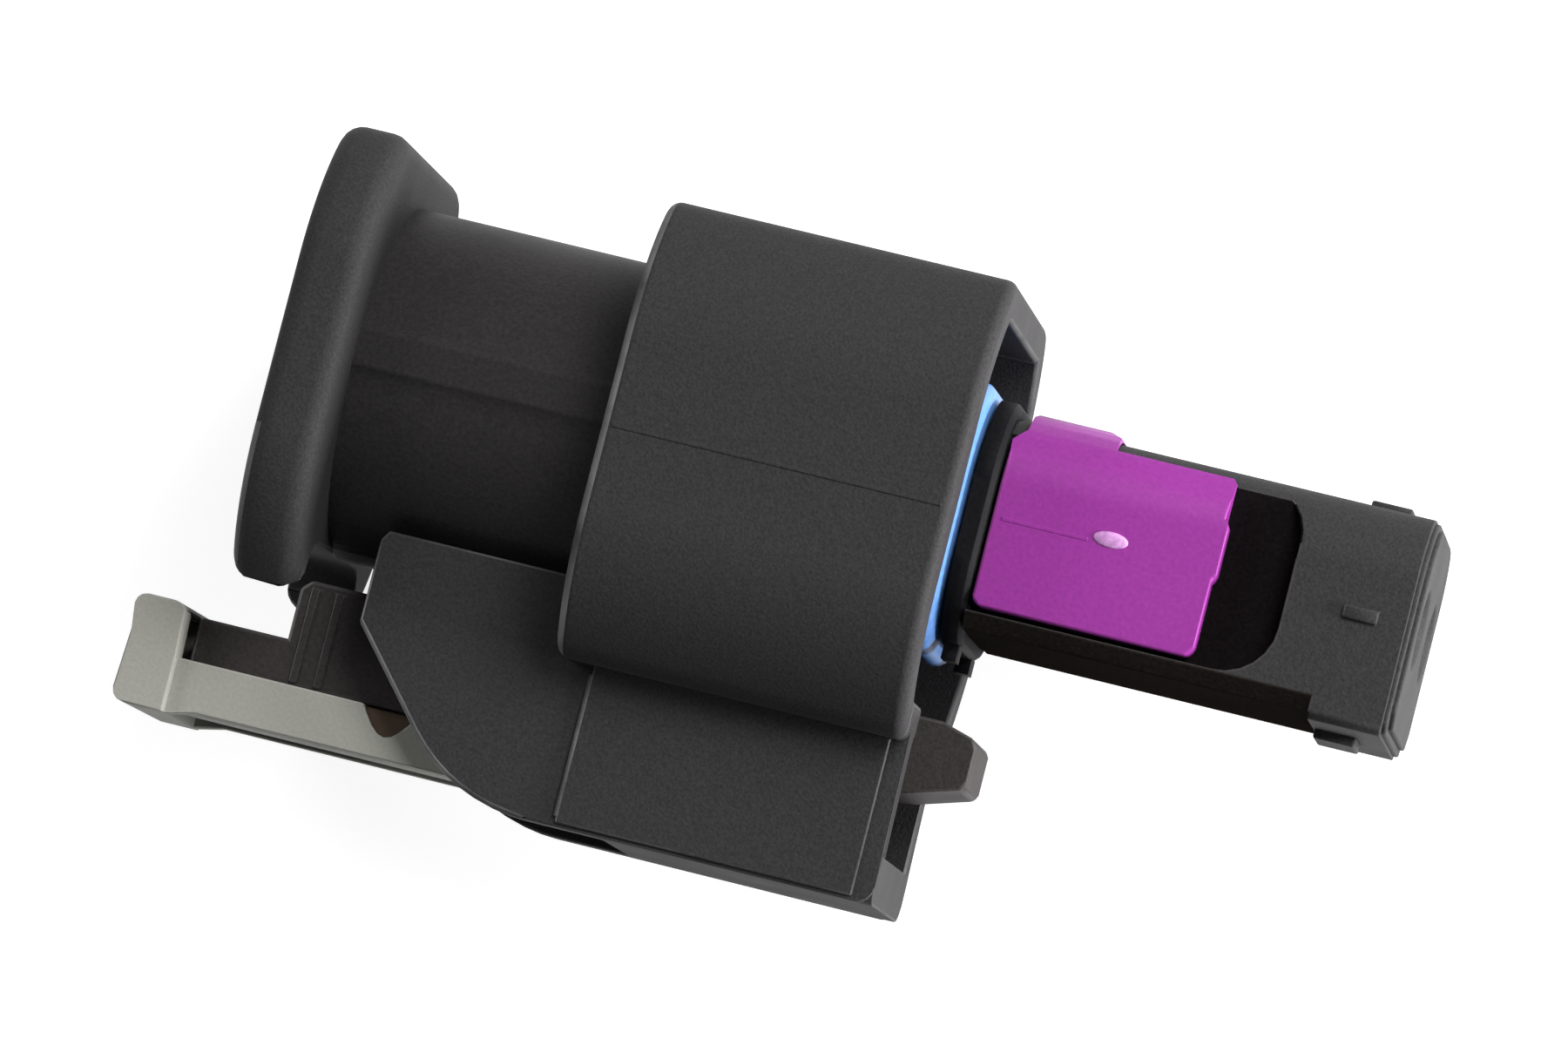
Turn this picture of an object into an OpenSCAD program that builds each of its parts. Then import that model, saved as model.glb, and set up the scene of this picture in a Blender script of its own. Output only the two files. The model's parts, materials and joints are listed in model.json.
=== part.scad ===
// Sealed two-way automotive connector, female side.
// The mating axis runs along X and the nose points to +X.  The lock side is -Y, Z runs across the
// two contacts, and the origin is the middle of the nose's front face.

/* [Hood] */
// Width of the hood and the rear flange, across the contacts
hood_w = 15; // [14.4:0.1:18]
// Height of the hood and the rear flange
hood_h = 13.8; // [13.2:0.1:16.6]
// Length of the hood from its mouth to its rear face
hood_len = 10.55; // [9:0.05:12.6]
// Wall of the hood
hood_wall = 1.2; // [0.9:0.1:1.5]
// Thickness of the web that closes the hood at the rear
web_t = 1.3; // [1:0.1:1.8]
// Flat stretch in the middle of each side of the hood
side_flat = 5; // [3:0.1:6]
// Radius of the big curve that follows the side flat
side_r = 5.4; // [5:0.1:6.5]
// Radius of the small corner below the top and bottom flats
corner_r = 1.6; // [1.4:0.1:1.8]

/* [Nose] */
// Width of the nose, across the contacts
nose_w = 8.4; // [8.2:0.1:9]
// Height of the nose
nose_h = 6.5; // [6.2:0.1:7.2]
// Length of the nose in front of the hood's mouth
nose_len = 13.6; // [12.5:0.1:16.5]
// Corner radius of the nose
nose_r = 2.2; // [1.6:0.1:2.6]
// Length of the square-bottomed cap at the tip
cap_len = 2.5; // [2:0.1:3]
// Height of the small centring ribs round the tip
rib_h = 0.28; // [0.2:0.02:0.4]

/* [Rear] */
// Diameter of the barrel behind the hood
barrel_d = 10.8; // [10:0.1:11.2]
// Length of the barrel between the hood and the flange
barrel_len = 7.9; // [7.4:0.1:9.8]
// Thickness of the rear flange
flange_t = 2.05; // [1.3:0.05:2.5]

/* [Contacts] */
// Distance between the two contacts
pitch = 4; // [3.9:0.05:4.2]
// Bore for each wire seal
wire_bore = 3.4; // [3.1:0.1:3.5]
// Length of the wire seal
wire_seal_len = 5.6; // [4.5:0.1:6.5]
// Hole through the wire seal
wire_hole = 1.6; // [1.2:0.1:2]
// Side of the square cavity for the contact
cavity = 2.3; // [2.2:0.05:2.5]
// Sheet thickness of the contact
sheet = 0.25; // [0.2:0.05:0.3]
// Diameter of the pin entry in the nose's front face
pin_hole = 1.5; // [1.3:0.1:1.7]

/* [Interface seal] */
// Length of the interface seal along the nose
seal_len = 3.7; // [3.2:0.1:4.2]
// Body thickness of the seal between its lips
seal_t = 0.45; // [0.35:0.05:0.6]
// Height of each lip over the seal's body
lip_h = 0.4; // [0.25:0.05:0.5]
// Thickness of the retaining ring in front of the seal
ring_t = 0.65; // [0.5:0.05:0.9]

/* [Lock housing] */
// Width over the two side walls of the lock housing
lock_w = 7.8; // [7.6:0.1:9.4]
// Thickness of each side wall
lock_wall = 1; // [0.8:0.1:1.2]
// Depth of the side walls, measured from the mating axis
lock_depth = 11.74; // [11.6:0.01:14]
// Length of the side walls from the hood's mouth to their rear edge
lock_len = 16.6; // [15.6:0.1:18]
// Length of the bridge that joins the side walls at the front
bridge_len = 8.2; // [6:0.1:8.4]
// Thickness of the bridge
bridge_t = 1.44; // [1.2:0.02:1.6]

/* [Lock lever] */
// Width of the lever
lever_w = 4.1; // [3.8:0.1:4.3]
// How far the lever's front end stands out of the hood's mouth
lever_front = 1.75; // [1.2:0.05:2.4]
// Diameter of the pivot pins
pivot_d = 1.4; // [1.2:0.1:1.6]
// Distance of the pivot behind the hood's mouth
pivot_back = 8.9; // [8.4:0.1:9.4]
// Distance of the pivot from the mating axis
pivot_down = 8; // [7.8:0.1:8.4]

/* [Position assurance] */
// Travel of the position assurance slide
slide_travel = 1.3; // [1:0.1:1.4]
// Thickness of the slide's head
head_t = 1.6; // [1.3:0.1:2]
// Height of the slide's head
head_h = 3.3; // [3:0.1:3.6]
// Height of the slide's side arms
arm_h = 1.5; // [1.2:0.1:1.6]
// Thickness of the slide's side arms
arm_t = 0.55; // [0.4:0.05:0.6]

/* [Contact lock] */
// Length of the coloured contact lock
clip_len = 6.8; // [6:0.1:7.4]
// Thickness of its side plates
clip_t = 0.75; // [0.6:0.05:0.85]
// Travel of the contact lock towards the tip
clip_travel = 1.3; // [1:0.1:1.5]

/* [Hidden] */
$fn = 64;
fit = 0.02; // pieces that are pressed or snapped together
gap = 0.15; // pieces that slide on each other
edge = 0.35; // rounding of the large moulded edges

// stations along the mating axis
mouth_x = -nose_len;
hood_x = mouth_x - hood_len;
flange_x = hood_x - barrel_len;
rear_x = flange_x - flange_t;
ring_x = mouth_x + 0.05;
seal_x = ring_x - seal_len;
clip_x = ring_x + ring_t + 0.1;
pivot_x = mouth_x - pivot_back;
bore_end_x = rear_x + 9.8;
cavity_front_x = -1.1;

// heights off the mating axis, towards the lock
wall_top = -4.46;
panel_rise = 0.12;
lever_top = -barrel_d / 2 - 0.9;
bridge_top = -lock_depth + bridge_t;
tunnel = lock_w / 2 - lock_wall;

// ---- shared forms -------------------------------------------------------------------------------

// points of an arc about [cx, cy]
function arc(cx, cy, r, a0, a1, n = 5) =
    [for (i = [0:n]) [cx + r * cos(a0 + (a1 - a0) * i / n), cy + r * sin(a0 + (a1 - a0) * i / n)]];

// turns a form drawn along +Z into one along +X, with its x along Y and its y along Z
module along_x(x) translate([x, 0, 0]) rotate([90, 0, 90]) children();

// extrudes an outline of the X-Y plane to both sides of the Z = 0 plane
module plate_z(w, z = 0) translate([0, 0, z - w / 2]) linear_extrude(w) children();

// box from its lowest and highest corners
module span(lo, hi) translate(lo) cube([hi[0] - lo[0], hi[1] - lo[1], hi[2] - lo[2]]);

// rounded rectangle, h along x and w along y
module rounded_rect(h, w, r) {
    polygon(concat(
        arc(h / 2 - r, w / 2 - r, r, 0, 90, 8), arc(r - h / 2, w / 2 - r, r, 90, 180, 8),
        arc(r - h / 2, r - w / 2, r, 180, 270, 8), arc(h / 2 - r, r - w / 2, r, 270, 360, 8)
    ));
}

// One quadrant of an outline is a list of arcs [cx, cy, r, a0, a1] from the x side to the y side.
function quarter(h, w, r) = [[h / 2 - r, w / 2 - r, r, 0, 90]];

// The hood's quadrant: a small corner below the flat, then the big curve of the crowned side.
side_y = side_flat / 2;
big_z = hood_w / 2 - side_r;
turn = acos((hood_h / 2 - corner_r - side_y) / (side_r - corner_r));
small_z = big_z + (side_r - corner_r) * sin(turn);
hood_quarter = [
    [hood_h / 2 - corner_r, small_z, corner_r, 0, turn],
    [side_y, big_z, side_r, turn, 90]
];

// sweeps a section, x outwards from the outline and y along the axis, round a whole outline
module ring_sweep(q) {
    last = q[len(q) - 1];
    top = q[0][0] + q[0][2];
    side = last[1] + last[2];
    for (s = [0, 180]) rotate([0, 0, s]) {
        translate([top, q[0][1], 0]) rotate([90, 0, 0]) linear_extrude(2 * q[0][1]) children();
        rotate([0, 0, 90]) translate([side, last[0], 0]) rotate([90, 0, 0])
            linear_extrude(2 * last[0]) children();
        for (a = q) {
            translate([a[0], a[1], 0]) rotate([0, 0, a[3]])
                rotate_extrude(angle = a[4] - a[3]) translate([a[2], 0]) children();
            translate([-a[0], a[1], 0]) rotate([0, 0, 180 - a[4]])
                rotate_extrude(angle = a[4] - a[3]) translate([a[2], 0]) children();
        }
    }
}

// fills the inside of such an outline, d inside its edge
module outline_fill(q, d) {
    pts = [for (a = q) each arc(a[0], a[1], a[2] - d, a[3], a[4], 6)];
    n = len(pts) - 1;
    polygon(concat(
        pts, [for (i = [0:n]) [-pts[n - i][0], pts[n - i][1]]],
        [for (p = pts) [-p[0], -p[1]]], [for (i = [0:n]) [pts[n - i][0], -pts[n - i][1]]]
    ));
}

// wall section of thickness t and length l with both outer edges rounded
module wall_section(t, l, r) {
    polygon(concat([[-t, 0]], arc(-r, r, r, -90, 0), arc(-r, l - r, r, 0, 90), [[-t, l]]));
}

// ---- housing ------------------------------------------------------------------------------------

module flange() {
    along_x(rear_x) {
        ring_sweep(hood_quarter) wall_section(hood_wall + 0.2, flange_t, 0.6);
        linear_extrude(flange_t) outline_fill(hood_quarter, hood_wall);
    }
}

// clearance in the flange's edge for the rear end of the lever
module flange_notch() {
    top = -barrel_d / 2 + 0.1;
    half = lever_w / 2 + 2.3;
    r = 0.9;
    along_x(rear_x - 1) linear_extrude(flange_t + 1) polygon(concat(
        [[-hood_h, half + 0.6], [-hood_h, -half - 0.6], [-hood_h / 2, -half - 0.6],
         [-hood_h / 2 + 0.6, -half]],
        arc(top - r, r - half, r, -90, 0, 4), arc(top - r, half - r, r, 0, 90, 4),
        [[-hood_h / 2 + 0.6, half], [-hood_h / 2, half + 0.6]]
    ));
}

module hood() {
    along_x(hood_x) {
        ring_sweep(hood_quarter) wall_section(hood_wall, hood_len, edge);
        linear_extrude(web_t) outline_fill(hood_quarter, hood_wall / 2);
    }
}

// the barrel carries one long stiffening rib on each side
module barrel() {
    r = barrel_d / 2;
    along_x(rear_x + flange_t / 2) cylinder(d = barrel_d, h = barrel_len + flange_t);
    for (s = [-1, 1])
        along_x(flange_x - 0.2) linear_extrude(barrel_len + 0.4) polygon([
            [1.4, s * (r - 1)], [1.4, s * (r - 0.2)], [1.05, s * (r + 0.1)],
            [-0.05, s * (r + 0.15)], [-0.4, s * (r - 0.05)], [-0.4, s * (r - 1)]
        ]);
}

// section of the nose behind the cap: rounded top, bevelled bottom edges
module nose_section() {
    h = nose_h / 2;
    w = nose_w / 2;
    bevel = 0.5;
    polygon(concat(
        [[bevel - h, -w], [-h, bevel - w], [-h, w - bevel], [bevel - h, w]],
        arc(h - nose_r, w - nose_r, nose_r, 90, 0, 8), arc(h - nose_r, nose_r - w, nose_r, 0, -90, 8)
    ));
}

// the cap keeps a square bottom, and its front edges are rounded off in two steps
module cap_section(inset) {
    h = nose_h / 2 - inset;
    w = nose_w / 2 - inset;
    r = nose_r - inset;
    low = 0.2 + inset;
    drop = 0.2;
    polygon(concat(
        [[low - h - drop, -w], [-h - drop, low - w], [-h - drop, w - low], [low - h - drop, w]],
        arc(h - r, w - r, r, 90, 0, 8), arc(h - r, r - w, r, 0, -90, 8)
    ));
}

module nose() {
    step = 0.3;
    // body of the nose, and the thicker stretch inside the hood that the seal is pushed against
    along_x(clip_x - 0.1) linear_extrude(-clip_x - cap_len + 0.2) nose_section();
    along_x(hood_x + web_t / 2) linear_extrude(seal_x - hood_x - web_t / 2)
        rounded_rect(nose_h + 2 * seal_t, nose_w + 2 * seal_t, nose_r + seal_t);
    along_x(seal_x - 0.1) linear_extrude(clip_x - seal_x + 0.1)
        rounded_rect(nose_h, nose_w, nose_r);
    along_x(-cap_len) linear_extrude(cap_len - step) cap_section(0);
    along_x(-step) linear_extrude(step / 2) cap_section(step / 3);
    along_x(-step / 2) linear_extrude(step / 2) cap_section(step);
    // centring ribs on all four sides
    rib_x = -2.4;
    rib_l = 1.25;
    span([rib_x, nose_h / 2 - 0.3, -0.8], [rib_x + rib_l, nose_h / 2 + rib_h, 0.8]);
    span([rib_x, -nose_h / 2 - 0.2 - rib_h, -1.2], [rib_x + rib_l, -nose_h / 2 + 0.3, 1.2]);
    for (s = [-1, 1])
        span([rib_x + 0.2, -0.35, s > 0 ? nose_w / 2 - 0.3 : -nose_w / 2 - rib_h / 2],
             [rib_x + rib_l, 0.05, s > 0 ? nose_w / 2 + rib_h / 2 : -nose_w / 2 + 0.3]);
}

// the lower front corner of the walls reaches this far past the hood's mouth
toe = 0.1;
slot_len = 7.4;

// outline of a side wall in the X-Y plane
module lock_wall_outline() {
    rear = mouth_x - lock_len;
    slope = 49;
    r = 5;
    foot_x = rear + 6.15;
    toe_r = 0.5;
    bow = arc(foot_x, -lock_depth + r, r, 270 - slope, 270, 8);
    polygon(concat(
        [[mouth_x, -hood_h / 2 + 0.7], [hood_x + 0.8, -hood_h / 2 + 0.7], [hood_x + 0.8, wall_top],
         [rear + 0.2, wall_top], [rear, wall_top - 0.3],
         [rear, bow[0][1] + (bow[0][0] - rear) * tan(slope)]],
        bow, arc(mouth_x + toe - toe_r, -lock_depth + toe_r, toe_r, 270, 360, 4)
    ));
}

module lock_housing() {
    half = lock_w / 2;
    for (s = [-1, 1]) {
        plate_z(lock_wall, s * (half - lock_wall / 2)) lock_wall_outline();
        // thicker front panel of the wall
        span([mouth_x - 9.5, -lock_depth + panel_rise, s > 0 ? half - 0.1 : -half - panel_rise],
             [mouth_x - 0.5, -hood_h / 2 + 0.3, s > 0 ? half + panel_rise : -half + 0.1]);
        // haunch that joins the wall to the barrel
        span([mouth_x - lock_len + 0.3, wall_top - 0.94, s > 0 ? 2.2 : -half + 0.2],
             [hood_x + 0.5, wall_top - 0.04, s > 0 ? half - 0.2 : -2.2]);
    }
    // bridge under the lever, with rounded lower edges
    along_x(mouth_x - bridge_len) linear_extrude(bridge_len + toe) polygon(concat(
        [[bridge_top, -half + 0.1], [bridge_top, half - 0.1]],
        arc(0.6 - lock_depth, half - 0.6, 0.6, 90, 180, 4),
        arc(0.6 - lock_depth, 0.6 - half, 0.6, 180, 270, 4)
    ));
}

// recess of the nose in which the side plates of the contact lock slide
clip_top = 2.9;
clip_bottom = -2.55;
clip_floor = nose_w / 2 - clip_t;
recess_end_x = clip_x + clip_len + clip_travel + 0.8;

module clip_recess() {
    reach = 1.6;
    for (s = [-1, 1])
        plate_z(2, s * (clip_floor + 1)) polygon(concat(
            [[clip_x - 0.1, clip_bottom - gap], [clip_x - 0.1, nose_h]],
            [[recess_end_x - reach, nose_h], [recess_end_x - reach, clip_top + gap]],
            arc(recess_end_x - reach, clip_top + gap - reach, reach, 90, 0, 6),
            arc(recess_end_x - reach, clip_bottom - gap + reach, reach, 0, -90, 6)
        ));
}

// windows through the sides of the nose for the lock's inner lugs
lug_x = clip_x + 2.2;
lug_len = 2.2;
lug_h = 1.6;
module clip_windows() {
    for (s = [-1, 1])
        span([lug_x - gap, -lug_h / 2 - gap, s > 0 ? pitch / 2 : -nose_w],
             [lug_x + lug_len + clip_travel + gap, lug_h / 2 + gap, s > 0 ? nose_w : -pitch / 2]);
}

module contact_holes() {
    lead = 0.5;
    for (s = [-1, 1]) translate([0, 0, s * pitch / 2]) {
        along_x(rear_x - 1) cylinder(d = wire_bore, h = bore_end_x - rear_x + 1);
        along_x(rear_x - 0.01) cylinder(d1 = wire_bore + 0.6, d2 = wire_bore, h = 0.3);
        span([bore_end_x - 0.1, -cavity / 2, -cavity / 2], [cavity_front_x, cavity / 2, cavity / 2]);
        along_x(cavity_front_x - 0.1) cylinder(d = pin_hole, h = 2);
        along_x(-lead) cylinder(d1 = pin_hole, d2 = pin_hole + 2 * lead * 1.2, h = lead * 1.2);
    }
}

module housing() color([0.13, 0.13, 0.13]) {
    difference() {
        union() {
            flange();
            barrel();
            hood();
            nose();
            lock_housing();
        }
        flange_notch();
        contact_holes();
        clip_recess();
        clip_windows();
        // slot in the hood's floor for the mating side's catch and the lever's hook
        span([mouth_x - slot_len, -hood_h / 2 - 0.5, -lever_w / 2 - 0.45],
             [mouth_x + 1, -hood_h / 2 + hood_wall + 0.4, lever_w / 2 + 0.45]);
        // blind bearings for the lever's pivot pins
        translate([pivot_x, -pivot_down, -tunnel - 0.6])
            cylinder(d = pivot_d + 0.1, h = 2 * tunnel + 1.2);
    }
}

// ---- seals --------------------------------------------------------------------------------------

// three-lipped ring round the root of the nose
module interface_seal() color([0.35, 0.55, 0.85]) {
    pitch_x = seal_len / 3;
    section = concat(
        [[fit, 0.02]],
        [for (i = [0:2]) each arc(seal_t, (i + 0.5) * pitch_x, lip_h, -75, 75, 6)],
        [[fit, seal_len - 0.02]]
    );
    along_x(seal_x) ring_sweep(quarter(nose_h, nose_w, nose_r)) polygon(section);
}

// snap ring that keeps the seal on the nose, with a small catch below
module seal_retainer() color([0.1, 0.1, 0.1]) {
    along_x(ring_x) ring_sweep(quarter(nose_h, nose_w, nose_r))
        polygon([[fit, 0], [0.45, 0], [0.45, ring_t - 0.15], [0.3, ring_t], [fit, ring_t]]);
    for (s = [-1, 1])
        span([ring_x + 0.1, -nose_h / 2 - 0.9, s * 2 - 0.5],
             [ring_x + ring_t - 0.1, -nose_h / 2 - 0.4, s * 2 + 0.5]);
}

// ribbed sleeve in each wire bore
module wire_seal(s) color([0.35, 0.55, 0.85]) {
    r = wire_bore / 2 - fit;
    n = 3;
    step = wire_seal_len / (n + 1);
    translate([0, 0, s * pitch / 2]) along_x(rear_x + 1.2) rotate_extrude() polygon(concat(
        [[wire_hole / 2, 0], [r - 0.4, 0]],
        [for (i = [1:n]) each arc(r - 0.4, i * step, 0.4, -80, 80, 4)],
        [[r - 0.4, wire_seal_len], [wire_hole / 2, wire_seal_len]]
    ));
}

// ---- contacts -----------------------------------------------------------------------------------

box_len = 7.4;
box_x = cavity_front_x - 0.4 - box_len;

// folded receptacle: box, neck and the two open crimp barrels
module contact(s) color([0.72, 0.56, 0.3]) {
    half = cavity / 2 - 0.1 - sheet;
    neck_x = box_x - 3;
    crimp_x = neck_x - 3.4;
    translate([0, 0, s * pitch / 2]) {
        difference() {
            span([box_x, -half, -half], [box_x + box_len - 0.3, half, half]);
            span([box_x - 1, -half + sheet, -half + sheet], [0, half - sheet, half - sheet]);
        }
        // spring tongue that presses the pin against the opposite wall
        plate_z(1) polygon([
            [box_x + 0.1, -half + 0.05], [box_x + 0.1, -half + 0.3], [box_x + box_len / 2, 0.05],
            [box_x + box_len - 0.6, -0.35], [box_x + box_len - 0.6, -0.55], [box_x + box_len / 2, -0.2]
        ]);
        span([crimp_x, -half, -0.6], [box_x + 0.1, -half + sheet, 0.6]);
        for (z = [-1, 1])
            plate_z(sheet, z * (0.6 - sheet / 2)) polygon([
                [crimp_x, -half + 0.01], [crimp_x, 0.8], [crimp_x + 2.6, 0.8],
                [crimp_x + 3, -half + 0.6], [box_x + 0.1, -half + 0.6], [box_x + 0.1, -half + 0.01]
            ]);
    }
}

// steel cage slipped over the box of the contact, with a locking lance
module contact_cage(s) color([0.75, 0.75, 0.75]) {
    outer = cavity / 2 - 0.08;
    inner = cavity / 2 - 0.1 - sheet + 0.01;
    translate([0, 0, s * pitch / 2]) difference() {
        span([box_x + 0.8, -outer, -outer], [box_x + box_len, outer, outer]);
        span([box_x, -inner, -inner], [box_x + box_len - 0.28, inner, inner]);
        along_x(box_x) cylinder(d = pin_hole, h = box_len + 1);
        span([box_x + 2.4, inner - 0.1, -0.45], [box_x + 4.4, outer + 1, 0.45]);
    }
}

// ---- contact lock -------------------------------------------------------------------------------

lock_out = nose_w / 2 + 0.12;
lock_in = clip_floor + 0.06;
roof_rise = 0.3;

// outline from the side: long plate with a stepped front edge, and the bridge's hump on top
module contact_lock_outline() {
    end_x = clip_x + clip_len;
    roof_x = clip_x + 3;
    roof_y = nose_h / 2 + roof_rise;
    polygon([
        [clip_x, clip_bottom + 0.2], [clip_x, clip_top - 0.4], [clip_x + 0.35, clip_top],
        [clip_x + 0.35, roof_y - 0.15], [clip_x + 0.5, roof_y], [roof_x - 0.5, roof_y],
        [roof_x, nose_h / 2 + 0.1], [roof_x, clip_top], [end_x - 0.25, clip_top],
        [end_x - 0.12, clip_top - 0.15], [end_x - 0.12, 1.6], [end_x, 1.4], [end_x, -0.1],
        [end_x - 0.12, -0.3], [end_x - 0.12, clip_bottom + 0.25], [end_x - 0.3, clip_bottom],
        [clip_x + 0.2, clip_bottom]
    ]);
}

// section through the lock: rounded saddle over the nose, clear of it by a small gap
module contact_lock_section() {
    roof_r = 2.4;
    clear = lock_in - clip_floor;
    h = nose_h / 2 + roof_rise;
    difference() {
        polygon(concat(
            [[clip_bottom - 1, -lock_out], [clip_bottom - 1, lock_out]],
            arc(h - roof_r, lock_out - roof_r, roof_r, 90, 0, 8),
            arc(h - roof_r, roof_r - lock_out, roof_r, 0, -90, 8)
        ));
        intersection() {
            rounded_rect(nose_h + 2 * clear, nose_w + 2 * clear, nose_r + clear);
            translate([-nose_h, -lock_in]) square([2 * nose_h, 2 * lock_in]);
        }
    }
}

// saddle over the nose: two side plates, a bridge over the top and an inner lug on each plate
module contact_lock() color([0.68, 0.2, 0.7]) {
    reach = pitch / 2 + cavity / 2 + 0.05;
    intersection() {
        plate_z(2 * nose_w) contact_lock_outline();
        along_x(clip_x - 1) linear_extrude(clip_len + 2) contact_lock_section();
    }
    for (s = [-1, 1])
        span([lug_x, -lug_h / 2, s > 0 ? reach : -lock_in - 0.1],
             [lug_x + lug_len, lug_h / 2, s > 0 ? lock_in + 0.1 : -reach]);
}

// ---- lock lever ---------------------------------------------------------------------------------

front_x = mouth_x + lever_front;
grip_rise = 0.08;
head_x = rear_x - 1.3;
pad_x = head_x + 0.2;
pad_top = -pivot_down - 0.15;
pad_low = -pivot_down - 1.8;
box_rear_x = flange_x - 0.45;

module lever_outline() {
    beam_top = 0.8 - pivot_down;
    beam_low = -pivot_down - 0.7;
    block_low = -pivot_down - 1.5;
    hook_top = 1 - hood_h / 2;
    hook_x = mouth_x - 2;
    polygon([
        // pad and thumb block
        [pad_x, pad_top], [box_rear_x, pad_top], [box_rear_x, lever_top - 0.3],
        [box_rear_x + 0.3, lever_top], [box_rear_x + 4, lever_top], [hood_x - 1, lever_top - 0.3],
        // beam over the pivot, and the hook with its tongue at the front
        [hood_x - 0.5, beam_top], [hook_x - 0.3, beam_top], [hook_x, hook_top],
        [mouth_x + 0.6, hook_top], [front_x - 0.1, hook_top - 0.3], [front_x, hook_top - 0.5],
        [front_x, hook_top - 1.65], [front_x - 0.1, hook_top - 1.85], [mouth_x, hook_top - 2.35],
        [hook_x - 0.5, beam_low + 0.1],
        // underside
        [pivot_x + 2, beam_low], [pivot_x - 1, beam_low - 0.4], [box_rear_x + 4.4, block_low],
        [box_rear_x + 0.4, block_low], [box_rear_x - 0.2, pad_low], [pad_x, pad_low]
    ]);
}

module lock_lever() color([0.13, 0.13, 0.13]) {
    difference() {
        plate_z(lever_w) lever_outline();
        // weight-saving pocket above the pivot
        span([box_rear_x + 0.8, -pivot_down - 0.2, -1.2], [pivot_x - 2, 0, 1.2]);
    }
    translate([pivot_x, -pivot_down, -tunnel - 0.5]) cylinder(d = pivot_d, h = 2 * tunnel + 1);
    // two grip ribs down each side of the thumb block
    for (s = [-1, 1], x = [0.35, 1.1])
        span([box_rear_x + x, -pivot_down - 1.4, s > 0 ? lever_w / 2 - 0.1 : -lever_w / 2 - grip_rise],
             [box_rear_x + x + 0.25, lever_top - 0.2, s > 0 ? lever_w / 2 + grip_rise : -lever_w / 2 + 0.1]);
}

// ---- position slide -----------------------------------------------------------------------------

head_top = 0.1 - pivot_down;
arm_out = tunnel - gap;
arm_low = -lock_depth + 0.74;
scoop_x = mouth_x - 15.25;
scoop_w = 1.7;
scoop_deep = 0.85;
head_out = arm_out + 0.45;

module slide_head_outline() {
    low = head_top - head_h;
    rear = head_x - head_t;
    polygon(concat(
        arc(head_x - 0.4, head_top - 0.35, 0.35, 0, 90, 3), arc(rear + 0.35, head_top - 0.35, 0.35, 90, 180, 3),
        [[rear + 0.1, head_top - head_h / 3]], arc(rear + 0.4, low + 0.4, 0.4, 180, 270, 3),
        [[head_x, low], [head_x + 0.9, arm_low], [head_x + 0.9, arm_low + arm_h], [head_x, arm_low + arm_h]]
    ));
}

module position_slide() color([0.8, 0.8, 0.76]) {
    front = mouth_x - 11.6;
    difference() {
        plate_z(2 * head_out) intersection() {
            slide_head_outline();
            translate([head_x - 10, -20]) square([10, 20]);
        }
        // pocket that takes the end of the lever's pad when the slide is pushed home
        span([pad_x - slide_travel - 0.1, pad_low - 0.1, -lever_w / 2 - 0.1],
             [head_x + 1, pad_top + 0.05, lever_w / 2 + 0.1]);
    }
    for (s = [-1, 1])
        plate_z(arm_t, s * (arm_out - arm_t / 2)) {
            slide_head_outline();
            polygon([
                [head_x - 0.2, arm_low], [head_x - 0.2, arm_low + arm_h],
                for (i = [0:8]) [scoop_x + scoop_w * (i / 8 - 0.5),
                                 arm_low + arm_h - scoop_deep * sin(i * 22.5)],
                [front - 0.3, arm_low + arm_h],
                [front, arm_low + arm_h - 0.4], [front, arm_low + 0.3], [front - 0.3, arm_low]
            ]);
        }
    // middle tongue that blocks the lever when the slide is pushed home
    plate_z(1.8) polygon([
        [head_x - 0.2, arm_low + 0.05], [head_x - 0.2, arm_low + 0.8], [front + 0.4, arm_low + 0.8],
        [front + 0.8, arm_low + 0.5], [front + 0.8, arm_low + 0.05]
    ]);
}

housing();
interface_seal();
seal_retainer();
contact_lock();
lock_lever();
position_slide();
wire_seal(1);  // wire_seal_left
wire_seal(-1);  // wire_seal_right
contact(1);  // contact_left
contact(-1);  // contact_right
contact_cage(1);  // contact_cage_left
contact_cage(-1);  // contact_cage_right
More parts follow.
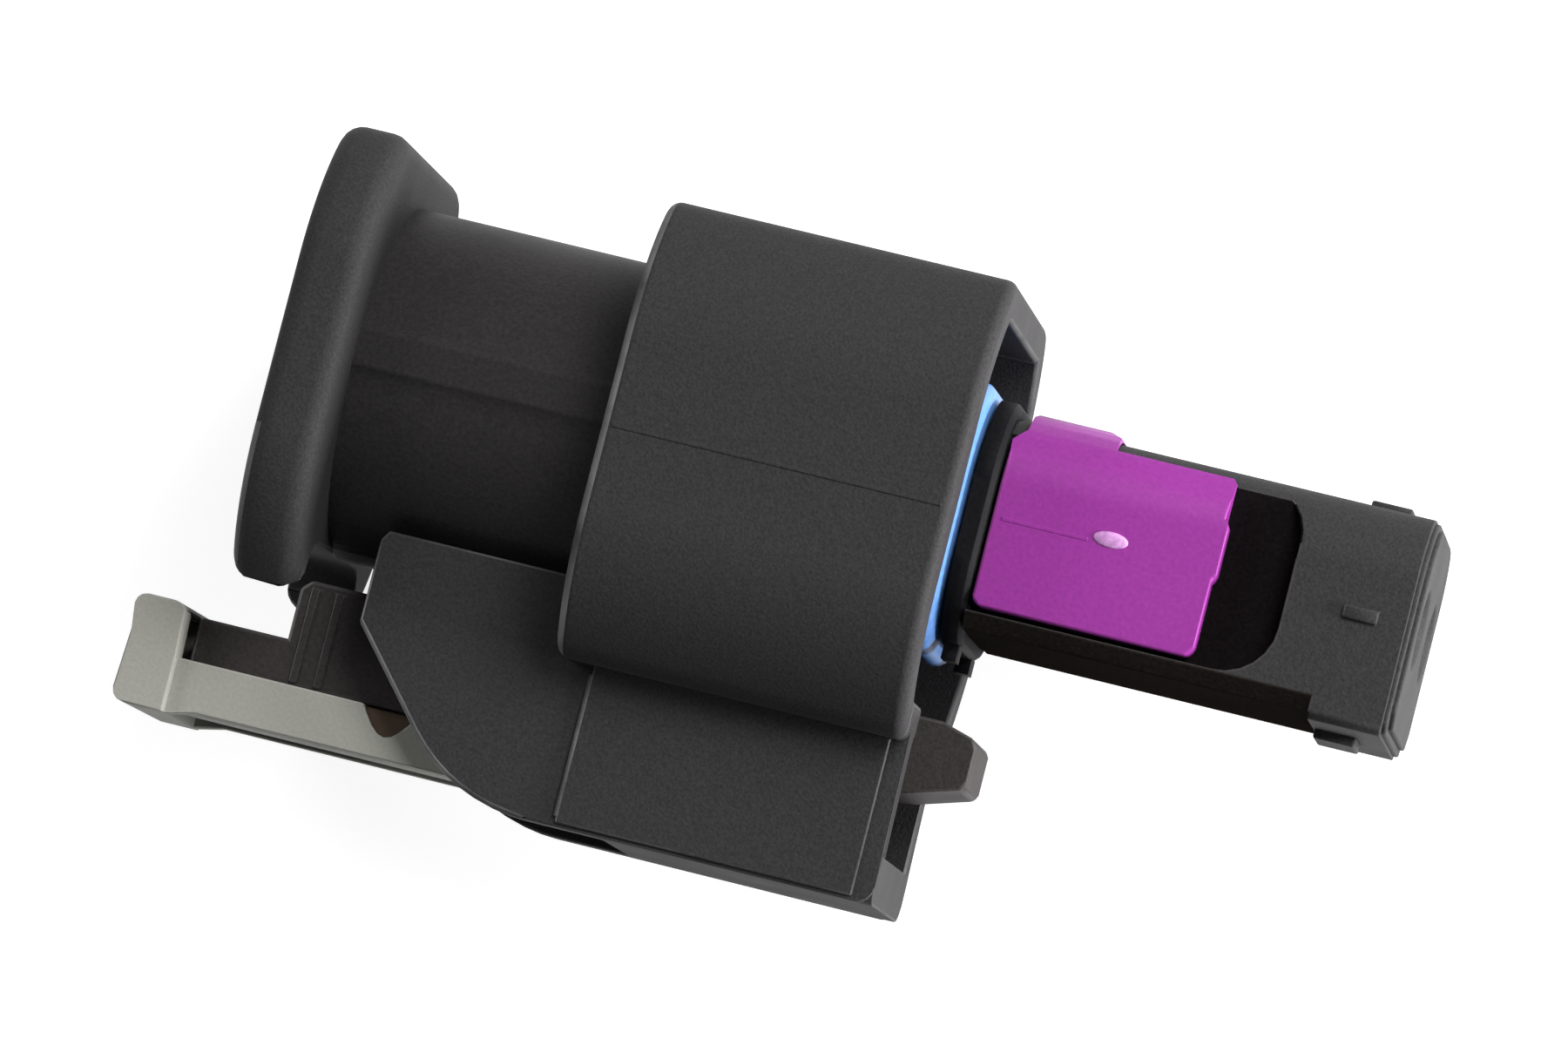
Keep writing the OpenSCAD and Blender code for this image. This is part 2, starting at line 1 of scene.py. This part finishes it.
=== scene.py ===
import math
import json
import bmesh
import bpy
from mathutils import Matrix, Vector

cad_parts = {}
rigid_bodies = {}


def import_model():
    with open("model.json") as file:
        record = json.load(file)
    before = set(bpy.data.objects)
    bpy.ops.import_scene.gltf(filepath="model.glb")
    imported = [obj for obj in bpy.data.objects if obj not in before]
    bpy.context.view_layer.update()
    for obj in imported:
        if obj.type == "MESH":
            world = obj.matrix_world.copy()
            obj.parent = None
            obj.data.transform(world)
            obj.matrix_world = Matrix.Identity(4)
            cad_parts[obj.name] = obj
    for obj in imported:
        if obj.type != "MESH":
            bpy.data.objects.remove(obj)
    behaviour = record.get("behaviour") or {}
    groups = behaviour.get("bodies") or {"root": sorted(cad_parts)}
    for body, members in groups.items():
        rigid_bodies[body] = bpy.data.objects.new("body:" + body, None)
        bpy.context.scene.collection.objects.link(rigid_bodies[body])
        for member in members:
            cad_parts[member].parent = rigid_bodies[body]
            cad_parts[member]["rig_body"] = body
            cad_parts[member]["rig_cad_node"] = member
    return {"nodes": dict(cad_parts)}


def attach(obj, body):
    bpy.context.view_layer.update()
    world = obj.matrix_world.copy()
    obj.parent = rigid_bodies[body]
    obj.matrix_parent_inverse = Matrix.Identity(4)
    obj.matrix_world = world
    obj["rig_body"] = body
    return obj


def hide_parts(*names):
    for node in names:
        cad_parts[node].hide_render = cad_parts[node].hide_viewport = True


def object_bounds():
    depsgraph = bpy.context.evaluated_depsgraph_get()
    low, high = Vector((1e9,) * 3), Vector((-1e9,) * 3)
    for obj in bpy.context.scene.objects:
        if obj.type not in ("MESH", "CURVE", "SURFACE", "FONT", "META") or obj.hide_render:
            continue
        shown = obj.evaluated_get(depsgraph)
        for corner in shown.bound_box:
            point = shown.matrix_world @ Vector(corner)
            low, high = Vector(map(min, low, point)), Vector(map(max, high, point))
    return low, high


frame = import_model()
cad_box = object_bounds()

# ---- table, light and camera ---------------------------------------------------------------------
# The connector lies on its side on a pale matt table.  One large soft lamp hangs above it, one
# stands beyond the nose and a weak one stands behind the flange.  The camera looks down from
# above, a little past the nose on the lock's side.

MM = 0.001
low, high = cad_box
middle = (Vector(low) + Vector(high)) / 2
length = high[0] - low[0]
table_size = 40 * length
table_gap = 0.02 * MM


def rays_that_see_white(tree):
    """1 for rays from the camera and for rays that a surface mirrors or bends, 0 for the others."""
    paths = tree.nodes.new("ShaderNodeLightPath")
    seen = paths.outputs["Is Camera Ray"]
    for kind in ("Is Glossy Ray", "Is Transmission Ray"):
        either = tree.nodes.new("ShaderNodeMath")
        either.operation = "MAXIMUM"
        tree.links.new(seen, either.inputs[0])
        tree.links.new(paths.outputs[kind], either.inputs[1])
        seen = either.outputs[0]
    return seen


bpy.ops.object.select_all(action="DESELECT")
bpy.ops.mesh.primitive_plane_add(size=table_size, location=(middle.x, middle.y, low[2] - table_gap))
table = bpy.context.object
table.name = "table"
table_paint = bpy.data.materials.new("table_paint")
table_paint.use_nodes = True
tree = table_paint.node_tree
tree.nodes.clear()
matt = tree.nodes.new("ShaderNodeBsdfDiffuse")
matt.inputs["Color"].default_value = (0.46, 0.46, 0.46, 1)
bright = tree.nodes.new("ShaderNodeEmission")
bright.inputs["Color"].default_value = (1, 1, 1, 1)
bright.inputs["Strength"].default_value = 0.82
white = tree.nodes.new("ShaderNodeAddShader")
tree.links.new(matt.outputs[0], white.inputs[0])
tree.links.new(bright.outputs[0], white.inputs[1])
table_top = tree.nodes.new("ShaderNodeMixShader")
tree.links.new(rays_that_see_white(tree), table_top.inputs["Fac"])
tree.links.new(matt.outputs[0], table_top.inputs[1])
tree.links.new(white.outputs[0], table_top.inputs[2])
surface = tree.nodes.new("ShaderNodeOutputMaterial")
tree.links.new(table_top.outputs[0], surface.inputs["Surface"])
table.data.materials.append(table_paint)

studio = bpy.data.worlds.new("studio")
bpy.context.scene.world = studio
studio.use_nodes = True
tree = studio.node_tree
walls = tree.nodes["Background"]
walls.inputs["Color"].default_value = (1, 1, 1, 1)
glow = tree.nodes.new("ShaderNodeMapRange")
glow.inputs["To Min"].default_value = 0.05
glow.inputs["To Max"].default_value = 1
tree.links.new(rays_that_see_white(tree), glow.inputs["Value"])
tree.links.new(glow.outputs[0], walls.inputs["Strength"])


def soft_lamp(name, place, size, power):
    """A square lamp that faces the part.  Place and size are in lengths of the part."""
    bpy.ops.object.light_add(type="AREA", location=middle + Vector(place) * length)
    lamp = bpy.context.object
    lamp.name = name
    lamp.data.size = size * length
    lamp.data.energy = power
    lamp.rotation_euler = (middle - lamp.location).to_track_quat("-Z", "Y").to_euler()


soft_lamp("lamp_above", place=(2.6, 3.4, 4.4), size=3.6, power=0.66)
soft_lamp("lamp_past_nose", place=(5.2, 0.3, 0.6), size=2.0, power=1.1)
soft_lamp("lamp_behind_flange", place=(-4.4, 1.6, 3.6), size=2.0, power=0.14)

bpy.ops.object.camera_add(
    location=(18.4 * MM, -23.886 * MM, 273.135 * MM),
    rotation=(math.radians(6.508), math.radians(6.446), math.radians(14.346)),
)
camera = bpy.context.object
camera.data.sensor_width = 36
camera.data.lens = 214.03
camera.data.clip_start = 0.01
bpy.context.scene.camera = camera
bpy.context.scene.view_settings.view_transform = "Standard"

# ---- housing -------------------------------------------------------------------------------------
# One black moulding of glass-filled plastic: nose, hood, barrel, rear flange and the two walls
# that shelter the lever.  The tool leaves a fine spark-eroded grain, and its edges are a little
# round and rubbed, and painted lighter as highlights.  Some hollows are painted darker as shade.


def grain_group():
    """Fine moulded grain: flecks of colour, rubbed edges with a painted highlight, patchy gloss and
    a bump.
    """
    group = bpy.data.node_groups.new("moulded_grain", "ShaderNodeTree")
    ends = [
        ("Base", "INPUT", "NodeSocketColor"), ("Rubbed_and_highlit", "INPUT", "NodeSocketColor"),
        ("Gloss", "INPUT", "NodeSocketFloat"), ("Grain", "INPUT", "NodeSocketFloat"),
        ("Depth", "INPUT", "NodeSocketFloat"), ("Speckle", "INPUT", "NodeSocketFloat"),
        ("Colour", "OUTPUT", "NodeSocketColor"),
        ("Roughness", "OUTPUT", "NodeSocketFloat"), ("Normal", "OUTPUT", "NodeSocketVector"),
    ]
    for name, side, kind in ends:
        group.interface.new_socket(name=name, in_out=side, socket_type=kind)
    new, link = group.nodes.new, group.links.new
    start, end = new("NodeGroupInput"), new("NodeGroupOutput")

    place = new("ShaderNodeTexCoord")
    fine, cloud = new("ShaderNodeTexNoise"), new("ShaderNodeTexNoise")
    link(place.outputs["Object"], fine.inputs["Vector"])
    link(place.outputs["Object"], cloud.inputs["Vector"])
    link(start.outputs["Grain"], fine.inputs["Scale"])
    fine.inputs["Detail"].default_value = 4
    cloud.inputs["Scale"].default_value = 420
    cloud.inputs["Detail"].default_value = 3

    centred = new("ShaderNodeMath")
    centred.operation = "SUBTRACT"
    link(fine.outputs["Fac"], centred.inputs[0])
    fleck = new("ShaderNodeMath")
    fleck.operation = "MULTIPLY_ADD"
    link(centred.outputs[0], fleck.inputs[0])
    link(start.outputs["Speckle"], fleck.inputs[1])
    fleck.inputs[2].default_value = 1
    tone = new("ShaderNodeVectorMath")
    tone.operation = "SCALE"
    link(start.outputs["Base"], tone.inputs[0])
    link(fleck.outputs[0], tone.inputs["Scale"])

    # the rounded strips turn, in patches, towards the rubbed colour: wear together with a painted
    # highlight
    edge = new("ShaderNodeAttribute")
    edge.attribute_name = "rub_and_highlight"
    patchy = new("ShaderNodeMapRange")
    link(cloud.outputs["Fac"], patchy.inputs["Value"])
    patchy.inputs["From Min"].default_value = 0.35
    patchy.inputs["From Max"].default_value = 0.65
    patchy.inputs["To Min"].default_value = 0.15
    patch = new("ShaderNodeMath")
    patch.operation = "MULTIPLY"
    link(edge.outputs["Fac"], patch.inputs[0])
    link(patchy.outputs[0], patch.inputs[1])
    paint = new("ShaderNodeMix")
    paint.data_type = "RGBA"
    link(patch.outputs[0], paint.inputs["Factor"])
    link(tone.outputs[0], paint.inputs["A"])
    link(start.outputs["Rubbed_and_highlit"], paint.inputs["B"])
    link(paint.outputs["Result"], end.inputs["Colour"])

    sheen = new("ShaderNodeMapRange")
    link(cloud.outputs["Fac"], sheen.inputs["Value"])
    sheen.inputs["To Min"].default_value = -0.09
    sheen.inputs["To Max"].default_value = 0.09
    gloss = new("ShaderNodeMath")
    gloss.operation = "ADD"
    link(sheen.outputs[0], gloss.inputs[0])
    link(start.outputs["Gloss"], gloss.inputs[1])
    link(gloss.outputs[0], end.inputs["Roughness"])

    bump = new("ShaderNodeBump")
    bump.inputs["Distance"].default_value = 0.02 * MM
    link(start.outputs["Depth"], bump.inputs["Strength"])
    link(fine.outputs["Fac"], bump.inputs["Height"])
    link(bump.outputs["Normal"], end.inputs["Normal"])
    return group


moulded_grain = grain_group()


def plastic(name, colour, rubbed_and_highlit, rough, grain_mm, depth, shine=0.12, speckle=1.2):
    """A moulded plastic or rubber: the grain group feeds one Principled shader."""
    made = bpy.data.materials.new(name)
    made.use_nodes = True
    shader = made.node_tree.nodes["Principled BSDF"]
    grain = made.node_tree.nodes.new("ShaderNodeGroup")
    grain.node_tree = moulded_grain
    grain.inputs["Base"].default_value = (*colour, 1)
    grain.inputs["Rubbed_and_highlit"].default_value = (*rubbed_and_highlit, 1)
    grain.inputs["Gloss"].default_value = rough
    grain.inputs["Grain"].default_value = 1 / (grain_mm * MM)
    grain.inputs["Depth"].default_value = depth
    grain.inputs["Speckle"].default_value = speckle
    shader.inputs["Specular IOR Level"].default_value = shine
    join = made.node_tree.links.new
    join(grain.outputs["Colour"], shader.inputs["Base Color"])
    join(grain.outputs["Roughness"], shader.inputs["Roughness"])
    join(grain.outputs["Normal"], shader.inputs["Normal"])
    return made


def softened(node, name, finish, edge_mm, least=28, steps=2, narrow=None, clamp=True):
    """A copy of a CAD node with its flat faces made whole and its outer edges rounded as moulded.

    Edges sharper than least degrees are rounded by edge_mm times narrow(edge), where narrow is
    given.  The rounded strips get a value in an attribute for wear and a painted highlight, which
    grows towards the rear, the side that hands reach and that the lamps leave in shade.
    """
    source = frame["nodes"][node]
    piece = source.copy()
    piece.data = source.data.copy()
    piece.name = name
    piece.data.name = name
    bpy.context.scene.collection.objects.link(piece)
    bpy.ops.object.select_all(action="DESELECT")
    piece.select_set(True)
    bpy.context.view_layer.objects.active = piece
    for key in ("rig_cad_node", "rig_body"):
        if key in piece:
            del piece[key]
    piece.data.materials.clear()
    # the second slot only marks the rounded strips, until they have their wear and painted
    # highlight
    piece.data.materials.append(finish)
    piece.data.materials.append(finish)

    mesh = bmesh.new()
    mesh.from_mesh(piece.data)
    bmesh.ops.remove_doubles(mesh, verts=mesh.verts, dist=0.00001 * MM)
    bmesh.ops.dissolve_limit(
        mesh, verts=mesh.verts, edges=mesh.edges, angle_limit=math.radians(0.6)
    )
    weight = mesh.edges.layers.float.new("bevel_weight_edge")
    for line in mesh.edges:
        if len(line.link_faces) == 2 and line.is_convex:
            if line.calc_face_angle() > math.radians(least):
                line[weight] = narrow(line) if narrow else 1

    # a rounding never takes more than the short edges beside it leave room for
    sideways, shared_room, own_room, thinnest = 0.35, 0.45, 0.9, 0.12
    chosen = [line for line in mesh.edges if line[weight] > 0]
    rooms = []
    for line in chosen:
        along = (line.verts[1].co - line.verts[0].co).normalized()
        room = math.inf
        for corner in line.verts:
            for other in corner.link_edges:
                across = (other.verts[1].co - other.verts[0].co).cross(along).length
                if other is not line and across > sideways * other.calc_length():
                    room = min(room, across * (shared_room if other[weight] > 0 else own_room))
        rooms.append(room)
    for line, room in zip(chosen, rooms):
        fit = min(line[weight], room / (edge_mm * MM))
        line[weight] = fit if fit > thinnest else 0
    mesh.to_mesh(piece.data)
    mesh.free()

    round_edges = piece.modifiers.new("edges", "BEVEL")
    round_edges.width = edge_mm * MM
    round_edges.segments = steps
    round_edges.limit_method = "WEIGHT"
    round_edges.use_clamp_overlap = clamp
    round_edges.material = 1
    bpy.ops.object.modifier_apply(modifier="edges")

    # every rounded strip gets a little wear and painted highlight, and the rear-facing ones, which
    # the lamps leave in shade, get more painted highlight
    least_rub_and_highlight, highlight_to_rear = 0.12, 1.6
    rub_and_highlight = piece.data.attributes.new("rub_and_highlight", "FLOAT", "FACE")
    for face in piece.data.polygons:
        reached = min(1, least_rub_and_highlight + max(0, -highlight_to_rear * face.normal.x))
        rub_and_highlight.data[face.index].value = face.material_index * reached
        face.material_index = 0
    piece.data.materials.pop(index=1)

    bpy.ops.object.shade_smooth_by_angle(angle=math.radians(35))
    even = piece.modifiers.new("flat_faces", "WEIGHTED_NORMAL")
    even.keep_sharp = True
    even.weight = 80
    bpy.ops.object.modifier_apply(modifier="flat_faces")
    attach(piece, source["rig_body"])
    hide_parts(node)
    return piece


black_housing = plastic(
    "black_housing", (0.0285, 0.0275, 0.0285), (0.36, 0.36, 0.37),
    rough=0.6, grain_mm=0.09, depth=0.8, shine=0.06,
)
# near black, painted as the shade in the sunk panels beside the contact lock
recess_painted_shade = plastic(
    "recess_painted_shade", (0.0065, 0.0055, 0.006), (0.02, 0.02, 0.02),
    rough=0.6, grain_mm=0.12, depth=0.3, shine=0,
)
# a darker, browner black without shine, painted as the shade under the nose
nose_underside = plastic(
    "nose_underside", (0.027, 0.023, 0.02), (0.05, 0.05, 0.05),
    rough=0.7, grain_mm=0.12, depth=0.3, shine=0,
)
# a darker black, painted as the shade in the valley between hood and flange, and a little smoother
smooth_barrel = plastic(
    "smooth_barrel", (0.022, 0.0205, 0.0205), (0.1, 0.1, 0.1),
    rough=0.5, grain_mm=0.12, depth=0.5, shine=0.06,
)

# places on the housing in mm: x is 0 at the tip of the nose and falls towards the rear, y rises to
# the top of the hood, and z goes out to its sides
tip_block_rear = -2.3
panel_front, panel_rear, panel_top, panel_floor = -3.88, -12.95, 3.26, 3.6
panel_inner, panel_outer = 2.6, 4.15
nose_root, nose_side, nose_bottom = -13.4, 4.25, -2.5
hood_mouth, hood_rear, hood_side = -13.6, -24.15, high[2] / MM
wall_from, wall_top, wall_inner, wall_side = -24.3, -5.5, 3.8, 3.96
barrel_front, barrel_rear, barrel_reach, rib_reach = -24.2, -32.02, 5.75, 2.2
flange_rounding, flange_middle = -33.9, -1

# how much each place's edges are rubbed and lit by a painted highlight, from 0 to 1
rim_highlight, flange_highlight, insert_highlight, nose_share = 0.6, 0.35, 0.16, 0.2


def housing_edge(line):
    """The rims of the hood and the rear of the lock walls are rounder than the other edges."""
    a, b = (corner.co / MM for corner in line.verts)
    if max(a.x, b.x) < wall_from and max(a.y, b.y) < wall_top:
        if min(abs(a.z), abs(b.z)) > wall_inner:
            return 1
    for rim in (hood_rear, hood_mouth):
        if abs(a.x - rim) < 0.02 and abs(b.x - rim) < 0.02:
            return 1
    return 0.5


housing = softened(
    "housing", "housing_moulding", black_housing, 0.14,
    narrow=housing_edge, clamp=False,
)

# the hood's rear rim and the lower rear of the flange get the most wear and painted highlight, the
# nose hardly any, and the ribs of the barrel none
rub_and_highlight = housing.data.attributes["rub_and_highlight"].data
for face in housing.data.polygons:
    x, y, z = face.center / MM
    to_rear = -face.normal.x
    narrow_strip = face.area < 1 * MM**2
    if hood_rear + 0.01 < x < hood_rear + 0.45 and to_rear > 0.3 and narrow_strip:
        rub_and_highlight[face.index].value = rim_highlight
    if x < flange_rounding and 0.3 < to_rear < 0.95 and y < flange_middle:
        rub_and_highlight[face.index].value = flange_highlight
    if x > nose_root:
        rub_and_highlight[face.index].value *= nose_share
    elif barrel_rear < x < barrel_front and abs(y) < rib_reach:
        rub_and_highlight[face.index].value = 0

# the sunk panels beside the contact lock and the underside of the nose have little grain, and the
# round core of the barrel was polished in the tool; all three are also painted darker, as the shade
# that falls in the recesses, under the nose and in the valley between hood and flange
painted_shade_places = {"panel": 1, "underside": 2, "barrel": 3}
for finish in (recess_painted_shade, nose_underside, smooth_barrel):
    housing.data.materials.append(finish)
for face in housing.data.polygons:
    x, y, z = face.center / MM
    facing = face.normal
    if panel_rear < x < panel_front and abs(y) < panel_top and panel_inner < abs(z) < panel_outer:
        floor = abs(facing.z) > 0.9 and abs(z) < panel_floor
        if abs(facing.y) < 0.5 and (facing.x < -0.3 or floor):
            face.material_index = painted_shade_places["panel"]
    if panel_rear < x < tip_block_rear and y < nose_bottom and abs(z) < nose_side:
        if facing.y < -0.25:
            face.material_index = painted_shade_places["underside"]
    if barrel_rear < x < barrel_front and math.hypot(y, z) < barrel_reach:
        if math.hypot(facing.y, facing.z) > 0.5:
            face.material_index = painted_shade_places["barrel"]


def ridge(name, centre, size, round_by):
    """A fine raised line: a bar of size at centre, in mm, with its edges rounded."""
    bpy.ops.object.select_all(action="DESELECT")
    bpy.ops.mesh.primitive_cube_add(size=1, location=Vector(centre) * MM, scale=Vector(size) * MM)
    bar = bpy.context.object
    bar.name = name
    bpy.ops.object.transform_apply(location=True, rotation=True, scale=True)
    bpy.ops.object.mode_set(mode="EDIT")
    bpy.ops.mesh.bevel(offset=round_by * MM, segments=2)
    bpy.ops.object.mode_set(mode="OBJECT")
    return bar


def right_twin(left):
    """A copy of a left piece with a mesh of its own, mirrored to the right side."""
    bpy.ops.object.select_all(action="DESELECT")
    left.select_set(True)
    bpy.context.view_layer.objects.active = left
    bpy.ops.object.duplicate(linked=False)
    twin = bpy.context.object
    twin.name = left.name.replace("left", "right")
    bpy.ops.transform.resize(value=(1, 1, -1), center_override=(0, 0, 0))
    bpy.ops.object.transform_apply(location=True, rotation=True, scale=True)
    bpy.ops.object.mode_set(mode="EDIT")
    bpy.ops.mesh.select_all(action="SELECT")
    bpy.ops.mesh.normals_make_consistent(inside=False)
    bpy.ops.object.mode_set(mode="OBJECT")
    return twin


def finish_piece(piece, body, node, material):
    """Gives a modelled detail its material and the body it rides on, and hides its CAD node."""
    piece.data.materials.append(material)
    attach(piece, body)
    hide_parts(node)


# the tool's halves met down the middle of each side of the hood, and its insert met the lock walls
seam = ridge("tool_seam_left", (-18.87, -0.2, hood_side), (9.9, 0.12, 0.07), round_by=0.03)
insert_line = ridge("insert_line_left", (-23.12, -9.3, wall_side), (0.12, 4.3, 0.14), round_by=0.04)
# the insert line's faces are lighter: a painted highlight along the line
rub_and_highlight = insert_line.data.attributes.new("rub_and_highlight", "FLOAT", "FACE")
for face in insert_line.data.polygons:
    rub_and_highlight.data[face.index].value = insert_highlight
for left in (seam, insert_line):
    for piece in (left, right_twin(left)):
        finish_piece(piece, "body", "housing", black_housing)

# ---- seals ---------------------------------------------------------------------------------------
# Blue silicone, pressed in a heated tool: a three-lipped ring round the root of the nose and a
# ribbed sleeve in each wire bore.

blue_silicone = plastic(
    "blue_silicone", (0.085, 0.19, 0.44), (0.16, 0.3, 0.55),
    rough=0.42, grain_mm=0.2, depth=0.25, speckle=0.5,
)
for node, name in (
    ("interface_seal", "ring_seal"), ("wire_seal_left", "wire_sleeve_left"),
    ("wire_seal_right", "wire_sleeve_right"),
):
    softened(node, name, blue_silicone, 0.03, least=50)

# ---- retaining ring ------------------------------------------------------------------------------
# A thin ring moulded in black nylon.  It is pushed over the nose from the tip and snaps in place
# in front of the seal, which it keeps from being pulled off.

# the ring is painted much darker than the housing, as the shade in the gap between seal and lock
ring_painted_shade = plastic(
    "ring_painted_shade", (0.006, 0.006, 0.007), (0.012, 0.012, 0.012),
    rough=0.55, grain_mm=0.15, depth=0.3, shine=0.04,
)
softened("seal_retainer", "retaining_ring", ring_painted_shade, 0.05)

# ---- contact lock --------------------------------------------------------------------------------
# A purple saddle moulded in an unfilled nylon.  It snaps over the nose from above, and pushed
# towards the tip it blocks the contacts.  A gate mark stands on each cheek, painted pale as a
# highlight.

purple = plastic(
    "purple_plastic", (0.228, 0.024, 0.228), (0.38, 0.08, 0.35),
    rough=0.45, grain_mm=0.14, depth=0.2, shine=0.2, speckle=0.45,
)
# pale purple painted on each gate mark's dome as its highlight
blushed_purple = plastic(
    "blushed_purple", (0.48, 0.23, 0.5), (0.48, 0.23, 0.5),
    rough=0.4, grain_mm=0.14, depth=0.3, shine=0.3,
)
cheek = 4.32 * MM


def lock_edge(line):
    """The lower edge of each cheek is well rounded, the other edges only a little."""
    a, b = (corner.co for corner in line.verts)
    if max(a.y, b.y) < -2.5 * MM and abs(a.x - b.x) > 1 * MM:
        return 1
    on_roof = min(a.y, b.y) > 1.8 * MM
    inside_cheeks = max(abs(a.z), abs(b.z)) < 4.2 * MM
    return 0.12 if on_roof or inside_cheeks else 0.35


softened(
    "contact_lock", "contact_lock_saddle", purple, 0.36,
    steps=3, narrow=lock_edge, clamp=False,
)

# the stub where the plastic came in: a low oval dome, cut off flat a little under the cheek
bpy.ops.object.select_all(action="DESELECT")
bpy.ops.mesh.primitive_uv_sphere_add(
    segments=24, ring_count=12, radius=0.24 * MM, location=(-9.25 * MM, 0.24 * MM, cheek)
)
gate_mark = bpy.context.object
gate_mark.name = "gate_mark_left"
bpy.ops.transform.resize(value=(2.2, 1, 0.35))
bpy.ops.object.transform_apply(location=True, rotation=True, scale=True)
bpy.ops.object.mode_set(mode="EDIT")
bpy.ops.mesh.select_all(action="SELECT")
bpy.ops.mesh.bisect(
    plane_co=(0, 0, cheek - 0.03 * MM), plane_no=(0, 0, 1), use_fill=True, clear_inner=True,
    threshold=0.0001 * MM,
)
bpy.ops.object.mode_set(mode="OBJECT")
bpy.ops.object.shade_smooth()

# the line where the plastic met again behind the stub
flow_line = ridge("flow_line_left", (-11.2, 0.1, 4.31), (2.6, 0.12, 0.06), round_by=0.025)
for left, finish in ((gate_mark, blushed_purple), (flow_line, purple)):
    for piece in (left, right_twin(left)):
        finish_piece(piece, "clip", "contact_lock", finish)

# ---- lever ---------------------------------------------------------------------------------------
# The black locking lever, moulded in nylon with its pivot pins in one.  It snaps between the lock
# walls, and its nose holds the mating side's catch.

black_lever = plastic(
    "black_lever", (0.027, 0.0235, 0.0235), (0.3, 0.3, 0.31),
    rough=0.55, grain_mm=0.1, depth=0.6, shine=0.08,
)
softened("lock_lever", "rocking_lever", black_lever, 0.1, clamp=False)

# ---- position slide ------------------------------------------------------------------------------
# The natural nylon slide that is pushed in behind the lever once the pair is mated.  It is moulded
# in one; the rib between its arms is painted dark brown as the shade that falls between them.

natural = plastic(
    "natural_plastic", (0.285, 0.285, 0.255), (0.33, 0.33, 0.3),
    rough=0.55, grain_mm=0.11, depth=0.2, shine=0.15, speckle=0.3,
)
# dark brown painted on the rib between the arms, as the shade there
rib_painted_shade = plastic(
    "rib_painted_shade_plastic", (0.05, 0.034, 0.023), (0.07, 0.05, 0.035),
    rough=0.55, grain_mm=0.11, depth=0.2, shine=0.12, speckle=0.3,
)
softened("position_slide", "position_slide_frame", natural, 0.12)
cross_rib = ridge("slide_cross_rib", (-28.85, -10.12, 0), (1.9, 1.12, 5.2), round_by=0.15)
finish_piece(cross_rib, "slide", "position_slide", rib_painted_shade)

# ---- contacts ------------------------------------------------------------------------------------
# Two receptacles of rolled, tinned bronze strip, each in a bright steel sleeve with the locking
# lance.  They are pushed in from behind, and are seen only deep in the openings.


def metal(name, colour, rough):
    """Rolled strip metal with fine lines along the strip."""
    made = bpy.data.materials.new(name)
    made.use_nodes = True
    shader = made.node_tree.nodes["Principled BSDF"]
    shader.inputs["Metallic"].default_value = 1
    new, link = made.node_tree.nodes.new, made.node_tree.links.new
    place, lines = new("ShaderNodeTexCoord"), new("ShaderNodeTexNoise")
    along_strip = new("ShaderNodeMapping")
    along_strip.inputs["Scale"].default_value = (300, 9000, 9000)
    link(place.outputs["Object"], along_strip.inputs["Vector"])
    link(along_strip.outputs[0], lines.inputs["Vector"])
    lines.inputs["Scale"].default_value = 1
    tone = new("ShaderNodeMix")
    tone.data_type = "RGBA"
    tone.inputs["A"].default_value = (*[0.8 * part for part in colour], 1)
    tone.inputs["B"].default_value = (*colour, 1)
    link(lines.outputs["Fac"], tone.inputs["Factor"])
    link(tone.outputs["Result"], shader.inputs["Base Color"])
    shader.inputs["Roughness"].default_value = rough
    return made


bronze = metal("tinned_bronze", (0.78, 0.6, 0.4), 0.3)
steel = metal("bright_steel", (0.72, 0.72, 0.73), 0.25)
for side in ("left", "right"):
    softened("contact_" + side, "contact_body_" + side, bronze, 0.03)
    softened("contact_cage_" + side, "contact_sleeve_" + side, steel, 0.03)
